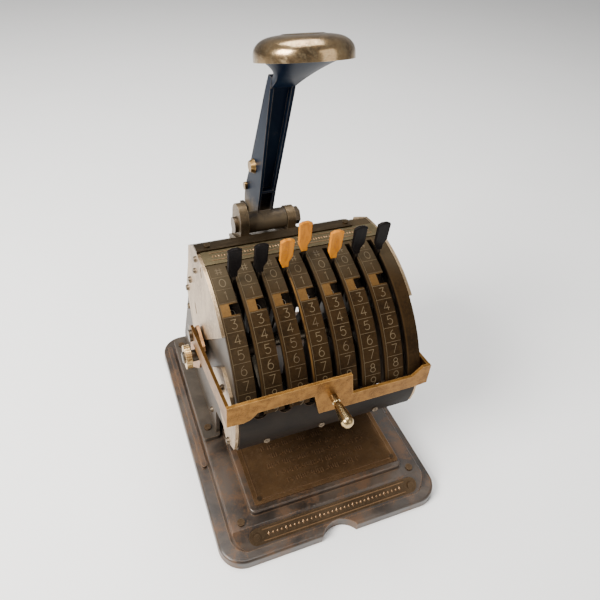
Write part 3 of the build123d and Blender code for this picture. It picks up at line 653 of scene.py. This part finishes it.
    @staticmethod
    def mouldings() -> list[Moulded]:
        """List the moulded, rubber and paint finishes.

        Returns:
            The finishes.
        """
        return [
            Moulded("tab black", (0.006, 0.005, 0.005), (0.014, 0.011, 0.009), (0.05, 0.042, 0.035),
                grain=6.0, rough=(0.1, 0.3), dark_share=0.5, specular=0.06),
            Moulded("tab ivory", (0.51, 0.1856, 0.0145), (0.2295, 0.064, 0.004), (0.578, 0.2432, 0.025),
                grain=4.0, rough=(0.16, 0.36), dark_share=0.75, specular=0.12),
            Moulded("pad rubber", (0.02, 0.02, 0.02), (0.035, 0.033, 0.03), (0.05, 0.05, 0.05),
                grain=8.0, rough=(0.6, 0.8), dark_share=0.5),
            Moulded("digit infill", (0.11, 0.0781, 0.0396), (0.0468, 0.0286, 0.0132),
                (0.11, 0.077, 0.0385), grain=16.0, rough=(0.45, 0.65), dark_share=0.95,
                specular=0.3),
            Moulded("dial paint", (0.3, 0.26, 0.2), (0.16, 0.13, 0.1), (0.3, 0.28, 0.24),
                grain=9.0, rough=(0.45, 0.65), dark_share=0.5),
            Moulded("slot shadow", (0.012, 0.009, 0.006), (0.02, 0.015, 0.011), (0.02, 0.015, 0.011),
                grain=3.0, rough=(0.6, 0.8), dark_share=0.5, specular=0.2),
        ]

    def __getitem__(self, name: str) -> bpy.types.Material:
        """Return a finish by name."""
        return self.made[name]

    def dress_cad(self) -> int:
        """Give every CAD node the finish that its slot names, or the one listed for it in own_finish.

        Returns:
            The number of nodes dressed.
        """
        slot_of = {s["node"]: s["material_slot"] for s in frame["record"]["subparts"]}
        for node, thing in frame["nodes"].items():
            name = self.own_finish.get(node, slot_of[node].replace("_", " "))
            thing.data.materials.clear()
            thing.data.materials.append(self.made[name])
        return len(slot_of)


# ---------------------------------------------------------------------------------------------
# Meshes
# ---------------------------------------------------------------------------------------------


@dataclass
class Piece:
    """A mesh being made, and the body that it will ride on."""

    name: str
    body: str
    slot: str
    finish: bpy.types.Material
    bm: bmesh.types.BMesh = field(default_factory=bmesh.new)

    def close(self) -> bpy.types.Object:
        """Turn the mesh into an object that rides on its body.

        Returns:
            The object.
        """
        bmesh.ops.recalc_face_normals(self.bm, faces=self.bm.faces)
        mesh = bpy.data.meshes.new(self.name)
        self.bm.to_mesh(mesh)
        self.bm.free()
        for polygon in mesh.polygons:
            polygon.use_smooth = False
        mesh.materials.append(self.finish)
        thing = bpy.data.objects.new(self.name, mesh)
        bpy.context.scene.collection.objects.link(thing)
        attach(thing, self.body)
        log.info("%s: %d faces on %s", self.name, len(mesh.polygons), self.body)
        return thing

    def prism(self, base: Sequence[Vector], lift: Vector, shrink: float = 1.0) -> None:
        """Add a low block: a base outline raised along lift, with its top drawn in.

        Args:
            base: The outline's corners.
            lift: How far the top stands from it.
            shrink: The top's size over the base's.
        """
        middle = sum(base, Vector()) / len(base)
        low = [self.bm.verts.new(p) for p in base]
        high = [self.bm.verts.new(middle + (p - middle) * shrink + lift) for p in base]
        self.bm.faces.new(high)
        count = len(base)
        for i in range(count):
            self.bm.faces.new((low[i], low[(i + 1) % count], high[(i + 1) % count], high[i]))


def arc(cx: float, cy: float, rx: float, ry: float, start: float, stop: float, steps: int = 14) -> Run:
    """Return points along part of an ellipse.

    Args:
        cx: Its centre, across.
        cy: Its centre, up.
        rx: Its half width.
        ry: Its half height.
        start: Angle of the first point, in degrees.
        stop: Angle of the last.
        steps: Number of runs.

    Returns:
        The points.
    """
    turns = [math.radians(start + (stop - start) * i / steps) for i in range(steps + 1)]
    return [(cx + rx * math.cos(a), cy + ry * math.sin(a)) for a in turns]


class Digits:
    """Single-line engraver's figures, about five millimetres wide and seven high about their centre."""

    def __init__(self) -> None:
        """Set out the strokes of each figure."""
        six = [arc(0, -1.3, 2.0, 2.1, 0, 360, 20), arc(2.0, -1.3, 4.0, 4.8, 180, 105, 9)]
        self.strokes: dict[str, list[Run]] = {
            "#": [[(-1.2, -3.3), (-1.2, 3.3)], [(1.2, -3.3), (1.2, 3.3)],
                  [(-2.5, 1.2), (2.5, 1.2)], [(-2.5, -1.2), (2.5, -1.2)]],
            "0": [arc(0, 0, 2.2, 3.3, 0, 360, 24)],
            "1": [[(-1.0, 2.3), (0.2, 3.4), (0.2, -3.4)]],
            "2": [arc(0, 1.4, 2.0, 1.9, 165, -35, 12) + [(-2.1, -3.3), (2.2, -3.3)]],
            "3": [[(-1.8, 3.3), (1.9, 3.3), (-0.1, 0.6)] + arc(-0.1, -1.35, 2.1, 1.95, 90, -150, 14)],
            "4": [[(1.0, -3.4), (1.0, 3.4), (-2.2, -1.4), (2.3, -1.4)]],
            "5": [[(1.9, 3.3), (-1.5, 3.3), (-1.7, 0.5)] + arc(0.0, -1.1, 2.1, 2.15, 130, -150, 15)],
            "6": six,
            "7": [[(-2.1, 3.3), (2.1, 3.3), (-0.7, -3.4)]],
            "8": [arc(0, 1.75, 1.6, 1.6, 0, 360, 16), arc(0, -1.55, 2.0, 1.8, 0, 360, 18)],
            "9": [[(-x, -y) for x, y in run] for run in six],
        }

    def ribbon(self, run: Run, width: float) -> list[list[tuple[float, float]]]:
        """Widen a stroke into four-cornered cells.

        Args:
            run: The stroke's points.
            width: Its width.

        Returns:
            The cells' corners.
        """
        closed = math.dist(run[0], run[-1]) < 1e-6
        points = run[:-1] if closed else run
        count = len(points)
        sides = []
        for i, here in enumerate(points):
            back = points[i - 1] if (i or closed) else here
            on = points[(i + 1) % count] if (i < count - 1 or closed) else here
            first = Vector((here[0] - back[0], here[1] - back[1]))
            second = Vector((on[0] - here[0], on[1] - here[1]))
            first = first.normalized() if first.length else second.normalized()
            second = second.normalized() if second.length else first
            middle = (first + second).normalized() if (first + second).length > 1e-6 else first
            reach = width / 2 / max(0.45, middle.dot(first))
            off = Vector((-middle.y, middle.x)) * reach
            sides.append(((here[0] + off.x, here[1] + off.y), (here[0] - off.x, here[1] - off.y)))
        pairs = list(zip(sides, sides[1:] + sides[:1])) if closed else list(zip(sides, sides[1:]))
        return [[a[0], a[1], b[1], b[0]] for a, b in pairs]


# ---------------------------------------------------------------------------------------------
# Sub-assemblies
# ---------------------------------------------------------------------------------------------


@dataclass
class NumberedFace:
    """Figures and cell lines on the curved face, and the figures on the dials behind its windows."""

    drum: DrumPlace
    finishes: Finishes
    figure: float = 0.98
    dial_figure: float = 0.86
    stroke: float = 0.46
    line: float = 0.26
    inset: float = 8.1
    dial_inset: float = 5.2
    cell_left: float = 14.6
    cell_right: float = 2.1
    upright_gap: float = 0.3
    upright_low: float = 17.0
    upright_high: float = 82.0
    upright_steps: int = 30
    figure_lift: float = 0.05
    line_lift: float = 0.04
    dial_lift: float = 0.06
    face_rows: tuple[tuple[int, str], ...] = tuple(
        [(-1, "#"), (0, "0"), (1, "1")] + [(n, str(n)) for n in range(3, 10)])
    digits: Digits = field(default_factory=Digits)

    def write(self, piece: Piece, text: str, x: float, angle: float, lift: float, size: float) -> None:
        """Lay one figure on a drum.

        Args:
            piece: The mesh it joins.
            text: The figure.
            x: Its centre across.
            angle: Its centre up the drum.
            lift: How far above the face's surface it lies.
            size: Its size over the figures' own.
        """
        radius = self.drum.radius + lift
        for run in self.digits.strokes[text]:
            for cell in self.digits.ribbon(run, self.stroke / size):
                corners = []
                for u, v in cell:
                    turned = angle + math.degrees(v * size / radius)
                    corners.append(piece.bm.verts.new(self.drum.point(x + u * size, turned, lift)))
                piece.bm.faces.new(corners)

    def patch(self, piece: Piece, left: float, right: float, low: float, high: float) -> None:
        """Lay one flat patch on the face.

        Args:
            piece: The mesh it joins.
            left: Its left side, in millimetres.
            right: Its right side.
            low: The angle of its lower side, in degrees.
            high: The angle of its upper side.
        """
        corners = [(left, low), (right, low), (right, high), (left, high)]
        piece.bm.faces.new([piece.bm.verts.new(self.drum.point(x, a, self.line_lift)) for x, a in corners])

    def build_figures(self) -> bpy.types.Object:
        """Engrave the figures of every column.

        Returns:
            The figures.
        """
        piece = Piece("engraved_figures", "frame", "title_brass", self.finishes["digit infill"])
        for column in range(self.drum.columns):
            x = self.drum.column_x(column) - self.inset
            for row, text in self.face_rows:
                self.write(piece, text, x, self.drum.row_angle(row), self.figure_lift, self.figure)
        return piece.close()

    def build_lines(self) -> bpy.types.Object:
        """Engrave the fine lines between the cells.

        Returns:
            The lines.
        """
        piece = Piece("cell_lines", "frame", "title_brass", self.finishes["digit infill"])
        half = math.degrees(self.line / 2 / self.drum.radius)
        rise = (self.upright_high - self.upright_low) / self.upright_steps
        for column in range(self.drum.columns):
            slot = self.drum.column_x(column)
            for border in range(10):
                angle = self.drum.row_angle(border - 0.5)
                self.patch(piece, slot - self.cell_left, slot - self.cell_right, angle - half, angle + half)
            left = slot - self.cell_left - self.upright_gap
            for step in range(self.upright_steps):
                low = self.upright_low + rise * step
                self.patch(piece, left, left + self.line, low, low + rise)
        return piece.close()

    def build_dial(self, index: int, stem: float) -> bpy.types.Object:
        """Paint the figures on one key's dial.

        Args:
            index: The key's number, from 1.
            stem: The angle its stem stands at.

        Returns:
            The figures, riding with the key.
        """
        name = f"dial_figures_{index}"
        piece = Piece(name, f"segment_{index}", "segment_steel", self.finishes["dial paint"])
        x = self.drum.column_x(index - 1) - self.dial_inset
        lift = self.drum.dial_radius - self.drum.radius + self.dial_lift
        for row in range(-1, 10):
            text = "#" if row < 0 else str(row)
            angle = stem + (row - self.drum.window_row) * self.drum.row
            self.write(piece, text, x, angle, lift, self.dial_figure)
        return piece.close()


@dataclass
class Ornament:
    """Raised work on the plates: plain dashes, beads and lozenges. Sizes are in millimetres."""

    drum: DrumPlace
    finishes: Finishes
    dash_heights: tuple[float, ...] = (4.2, 2.6, 4.2, 1.4, 3.4, 4.2, 2.0, 3.0)
    dash_tallest: float = 4.2
    dash_short: float = 2.2
    dash_flat: float = 2.0
    dash_width: float = 0.95
    dash_lift: float = 0.34
    dash_step: float = 1.95
    row_pitch: float = 8.6
    row_start: float = 12.5
    rows: int = 6
    row_dashes: int = 46
    border_inset: float = 3.2
    border_width: float = 0.8
    border_lift: float = 0.3
    title_angle: float = 89.0
    title_radius: float = 100.2
    title_lift: float = 0.95
    title_lozenges: int = 58
    title_margin: float = 8.0
    title_lines: tuple[float, float] = (86.4, 91.4)
    front_lozenges: int = 33
    front_margin: float = 16.0
    front_rise: float = 11.0
    front_run: float = 12.5
    front_half_thickness: float = 0.5

    def dash(self, piece: Piece, centre: Vector, across: Vector, up: Vector, length: float, height: float,
             lift: float) -> None:
        """Add one rounded raised dash.

        Args:
            piece: The mesh it joins.
            centre: Its middle.
            across: Unit vector along it.
            up: Unit vector across it.
            length: Its length in metres.
            height: Its height in metres.
            lift: How far it stands out, in metres.
        """
        out = across.cross(up)
        outline = []
        radius = height / 2
        for side, start in ((1, -90), (-1, 90)):
            for step in range(5):
                turn = math.radians(start + 45 * step)
                along = side * (length / 2 - radius) + radius * math.cos(turn)
                outline.append(centre + across * along + up * radius * math.sin(turn))
        piece.prism(outline, out * lift, 0.86)

    def build_instruction_rows(self) -> bpy.types.Object:
        """Raise the rows of dashes on the bed plate.

        Returns:
            The dashes.
        """
        piece = Piece("instruction_rows", "frame", "plate_brass", self.finishes["raised brass"])
        low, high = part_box("instruction_plate")
        across, up = Vector((1, 0, 0)), Vector((0, 1, 0))
        width, lift = self.dash_width * MM, self.dash_lift * MM
        centre_x = (low.x + high.x) / 2
        for row in range(self.rows):
            y = low.y + (self.row_start + self.row_pitch * row) * MM
            outer = row in (0, self.rows - 1)
            count = self.row_dashes - 5 * (row % 2) - 12 * outer
            for k in range(count):
                if (k + 2 * row) % 7 == 3:
                    continue
                tall = self.dash_heights[(k * 3 + row * 5) % len(self.dash_heights)]
                lean = (self.dash_tallest - tall) / 2 * (1 if (k + row) % 2 else -1)
                x = centre_x + (k - (count - 1) / 2) * self.dash_step * MM
                middle = Vector((x, y + lean * MM, high.z))
                if tall < self.dash_short:
                    self.dash(piece, middle, across, up, self.dash_flat * MM, width, lift)
                else:
                    self.dash(piece, middle, up, -across, tall * MM, width, lift)
        return piece.close()

    def frame_bead(self, piece: Piece, corners: Sequence[Vector], width: float, lift: Vector) -> None:
        """Add a raised bead round a closed outline.

        Args:
            piece: The mesh it joins.
            corners: The outline.
            width: The bead's width in metres.
            lift: How far it stands out.
        """
        middle = sum(corners, Vector()) / len(corners)
        count = len(corners)
        for i in range(count):
            a, b = corners[i], corners[(i + 1) % count]
            along = (b - a).normalized()
            side = lift.normalized().cross(along)
            if side.dot(middle - a) < 0:
                side = -side
            base = [a, b, b + side * width, a + side * width]
            piece.prism(base, lift, 0.96)

    def build_instruction_border(self) -> bpy.types.Object:
        """Raise the border of the bed plate.

        Returns:
            The border.
        """
        piece = Piece("instruction_border", "frame", "plate_brass", self.finishes["raised brass"])
        low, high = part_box("instruction_plate")
        inset = self.border_inset * MM
        x0, x1, y0, y1 = low.x + inset, high.x - inset, low.y + inset, high.y - inset
        corners = [Vector((x, y, high.z)) for x, y in ((x0, y0), (x1, y0), (x1, y1), (x0, y1))]
        self.frame_bead(piece, corners, self.border_width * MM, Vector((0, 0, self.border_lift * MM)))
        return piece.close()

    def build_title(self) -> bpy.types.Object:
        """Raise the row of small lozenges, and a line on each side of it, above the figures.

        Returns:
            The ornament.
        """
        piece = Piece("title_ornament", "frame", "title_brass", self.finishes["raised brass"])
        low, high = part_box("title_plate")
        left, right = low.x / MM, high.x / MM
        step = (right - left - 2 * self.title_margin) / (self.title_lozenges - 1)
        turn = math.radians(self.title_angle)
        out = Vector((0, -math.cos(turn), math.sin(turn)))
        half_wide, half_line, line_margin = 0.75, 0.16, 6.0
        for i in range(self.title_lozenges):
            x = left + self.title_margin + i * step
            tall = 1.15 if i % 3 else 1.9
            shape = [(x - half_wide, 0.0), (x, tall), (x + half_wide, 0.0), (x, -tall)]
            base = []
            for u, v in shape:
                angle = self.title_angle + math.degrees(v / self.title_radius)
                base.append(Vector(self.drum.point(u, angle, self.title_lift)))
            piece.prism(base, out * 0.28 * MM, 0.6)
        x0, x1 = left + line_margin, right - line_margin
        for angle in self.title_lines:
            low_side, high_side = angle - half_line, angle + half_line
            corners = [(x0, low_side), (x1, low_side), (x1, high_side), (x0, high_side)]
            base = [Vector(self.drum.point(u, a, self.title_lift)) for u, a in corners]
            piece.prism(base, Vector((0, 0, 0.22 * MM)), 0.98)
        return piece.close()

    def build_front(self) -> bpy.types.Object:
        """Raise the row of lozenges, and a line on each side of it, on the sloped front plate.

        Returns:
            The ornament.
        """
        piece = Piece("front_ornament", "frame", "plate_brass", self.finishes["raised brass"])
        low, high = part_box("front_plate")
        slope = math.atan2(self.front_rise, self.front_run)
        across = Vector((1, 0, 0))
        up = Vector((0, math.cos(slope), math.sin(slope)))
        out = Vector((0, -math.sin(slope), math.cos(slope)))
        middle = (low + high) / 2 + out * self.front_half_thickness * MM
        half = (high.x - low.x) / 2
        margin = self.front_margin * MM
        step = 2 * (half - margin) / (self.front_lozenges - 1)
        half_wide, line_offset, line_margin = 1.1 * MM, 4.1 * MM, 11 * MM
        for i in range(self.front_lozenges):
            along = -half + margin + i * step
            tall = (2.2 if i % 4 else 3.4) * MM
            shape = [(-half_wide, 0), (0, tall / 2), (half_wide, 0), (0, -tall / 2)]
            base = [middle + across * (along + u) + up * v for u, v in shape]
            piece.prism(base, out * 0.3 * MM, 0.55)
        for side in (-1, 1):
            centre = middle + up * side * line_offset
            self.dash(piece, centre, across, up, 2 * (half - line_margin), 0.8 * MM, 0.32 * MM)
        return piece.close()


@dataclass
class ScrewSlots:
    """A thin dark strip across each screw head of a CAD node: painted shade standing for the driver slot's
    groove. Sizes are in millimetres and radians.
    """

    finishes: Finishes
    turn: float = 0.6
    turn_step: float = 0.9
    smallest_head: float = 1.2
    gap: float = 0.02
    lift: float = 0.03
    reach_share: float = 0.72
    width_share: float = 0.13

    def islands(self, node: str) -> list[tuple[Vector, Vector]]:
        """Find a node's separate solids.

        Args:
            node: The CAD node.

        Returns:
            The lowest and highest corner of each.
        """
        mesh = frame["nodes"][node].data
        bm = bmesh.new()
        bm.from_mesh(mesh)
        bmesh.ops.remove_doubles(bm, verts=bm.verts, dist=1e-5)
        seen: set[int] = set()
        found = []
        for vert in bm.verts:
            if vert.index in seen:
                continue
            stack, group = [vert], []
            seen.add(vert.index)
            while stack:
                here = stack.pop()
                group.append(here.co.copy())
                for edge in here.link_edges:
                    other = edge.other_vert(here)
                    if other.index not in seen:
                        seen.add(other.index)
                        stack.append(other)
            low = Vector(map(min, *group))
            high = Vector(map(max, *group))
            found.append((low, high))
        bm.free()
        return found

    def build(self, node: str, body: str, slot: str, axis: Axis,
              outward: Callable[[Vector], float]) -> bpy.types.Object:
        """Lay a thin dark strip, the painted shade of a driver slot, across every head of a node.

        Args:
            node: The CAD node.
            body: The body it rides on.
            slot: The record's slot; not used.
            axis: The axis the heads face along.
            outward: Gives 1 or -1, the way a head at a place faces.

        Returns:
            The slots, in one mesh.
        """
        piece = Piece(f"{node}_slots", body, slot, self.finishes["slot shadow"])
        k = axis.value
        u, v = [i for i in range(3) if i != k]
        for number, (low, high) in enumerate(self.islands(node)):
            middle = (low + high) / 2
            way = outward(middle)
            radius = min(high[u] - low[u], high[v] - low[v]) / 2
            if radius < self.smallest_head * MM:
                continue
            top = middle.copy()
            top[k] = (high[k] if way > 0 else low[k]) + way * self.gap * MM
            turn = self.turn + self.turn_step * number
            along, side, out = Vector(), Vector(), Vector()
            along[u], along[v] = math.cos(turn), math.sin(turn)
            side[u], side[v] = -math.sin(turn), math.cos(turn)
            out[k] = way
            reach, half = along * radius * self.reach_share, side * radius * self.width_share
            base = [top - reach - half, top + reach - half, top + reach + half, top - reach + half]
            piece.prism(base, out * self.lift * MM, 0.97)
        return piece.close()


@dataclass
class Studio:
    """Pale floor, soft lights and the camera. Its distances are in widths of the base."""

    width: float = 190.0
    aim_height: float = 0.4
    azimuth: float = -22.9453
    elevation: float = 36.5919
    roll: float = 3.7
    slide: float = -0.0078
    rise: float = 0.4893
    distance: float = 2.6765
    focal: float = 572.3655
    centre: tuple[float, float] = (287.4054, 255.2533)
    frame_size: float = 600.0
    sensor: float = 36.0
    floor_half: float = 4.0
    surround: float = 0.34
    lamp_aim: float = 0.13

    def build_camera(self) -> bpy.types.Object:
        """Place the scene's camera.

        Returns:
            The camera.
        """
        a, e, r = (math.radians(v) for v in (self.azimuth, self.elevation, self.roll))
        ahead = Vector((-math.sin(a) * math.cos(e), math.cos(a) * math.cos(e), -math.sin(e)))
        level = Vector((math.cos(a), math.sin(a), 0.0))
        above = level.cross(ahead)
        right = level * math.cos(r) + above * math.sin(r)
        up = above * math.cos(r) - level * math.sin(r)
        aim = Vector((0, 0, self.aim_height)) + right * self.slide + up * self.rise
        data = bpy.data.cameras.new("camera")
        data.sensor_width = self.sensor
        data.lens = self.focal / self.frame_size * self.sensor
        data.shift_x = (self.frame_size / 2 - self.centre[0]) / self.frame_size
        data.shift_y = (self.centre[1] - self.frame_size / 2) / self.frame_size
        data.dof.use_dof = False
        camera = bpy.data.objects.new("camera", data)
        bpy.context.scene.collection.objects.link(camera)
        place = Matrix((right, up, -ahead)).transposed().to_4x4()
        place.translation = (aim - ahead * self.distance) * self.width * MM
        camera.matrix_world = place
        bpy.context.scene.camera = camera
        return camera

    def build_floor(self) -> bpy.types.Object:
        """Lay the pale floor.

        Returns:
            The floor.
        """
        t = Tree("studio floor")
        soft = t.noise(120.0, 3.0)
        t.set(Base_Color=t.blend((0.95, 0.95, 0.95), (0.92, 0.92, 0.92), soft), Roughness=0.9)
        h = self.floor_half
        mesh = bpy.data.meshes.new("floor")
        mesh.from_pydata([(-h, -h, 0), (h, -h, 0), (h, h, 0), (-h, h, 0)], [], [(0, 1, 2, 3)])
        mesh.materials.append(t.material)
        floor = bpy.data.objects.new("floor", mesh)
        bpy.context.scene.collection.objects.link(floor)
        return floor

    def lamp(self, name: str, place: Point, size: float, power: float, warmth: Colour) -> bpy.types.Object:
        """Hang one soft light aimed at the object.

        Args:
            name: Its name.
            place: Where it hangs, in metres.
            size: The side of its square, in metres.
            power: Its power in watts.
            warmth: Its colour.

        Returns:
            The light.
        """
        data = bpy.data.lights.new(name, "AREA")
        data.size = size
        data.energy = power
        data.color = warmth
        thing = bpy.data.objects.new(name, data)
        thing.location = place
        aim = Vector((0, 0, self.lamp_aim)) - Vector(place)
        thing.rotation_euler = aim.to_track_quat("-Z", "Y").to_euler()
        bpy.context.scene.collection.objects.link(thing)
        return thing

    def build_lights(self) -> None:
        """Light the scene: a bright surround, a broad key from the left and a fill from the right."""
        world = bpy.data.worlds.new("surround")
        bpy.context.scene.world = world
        world.use_nodes = True
        back = world.node_tree.nodes["Background"]
        back.inputs["Color"].default_value = (1.0, 1.0, 1.0, 1.0)
        back.inputs["Strength"].default_value = self.surround
        self.lamp("key", (-1.05, -0.25, 0.95), 0.6, 46.0, (1.0, 0.97, 0.92))
        self.lamp("top", (0.0, 0.35, 1.5), 1.0, 27.0, (1.0, 0.99, 0.97))
        self.lamp("fill", (0.8, -1.1, 0.9), 0.9, 4.0, (1.0, 0.97, 0.93))


def main() -> None:
    """Build and dress the check writer."""
    logging.basicConfig(level=logging.INFO, format="%(message)s")
    studio = Studio()
    studio.build_camera()
    studio.build_floor()
    studio.build_lights()
    hinge = {j["name"]: j for j in frame["record"]["behaviour"]["joints"]}
    _, axis_y, axis_z = (v / MM for v in hinge["key_1"]["pos_m"])
    first_low, first_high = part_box("key_tab_1")
    drum = DrumPlace(axis_y, axis_z, (first_low.x + first_high.x) / 2 / MM)
    finishes = Finishes(drum)
    log.info("dressed %d CAD nodes", finishes.dress_cad())
    face = NumberedFace(drum, finishes)
    face.build_figures()
    face.build_lines()
    for index in range(1, drum.columns + 1):
        home = drum.window + drum.home_rows * drum.row
        face.build_dial(index, home - hinge[f"key_{index}"]["range_deg"][1])
    ornament = Ornament(drum, finishes)
    ornament.build_instruction_rows()
    ornament.build_instruction_border()
    ornament.build_title()
    ornament.build_front()
    slots = ScrewSlots(finishes)
    slots.build("cover_screws", "frame", "screw_steel", Axis.Y, lambda p: -1.0)
    slots.build("frame_screws", "frame", "screw_steel", Axis.X, lambda p: 1.0 if p.x > 0 else -1.0)


if __name__ == "__main__":
    main()
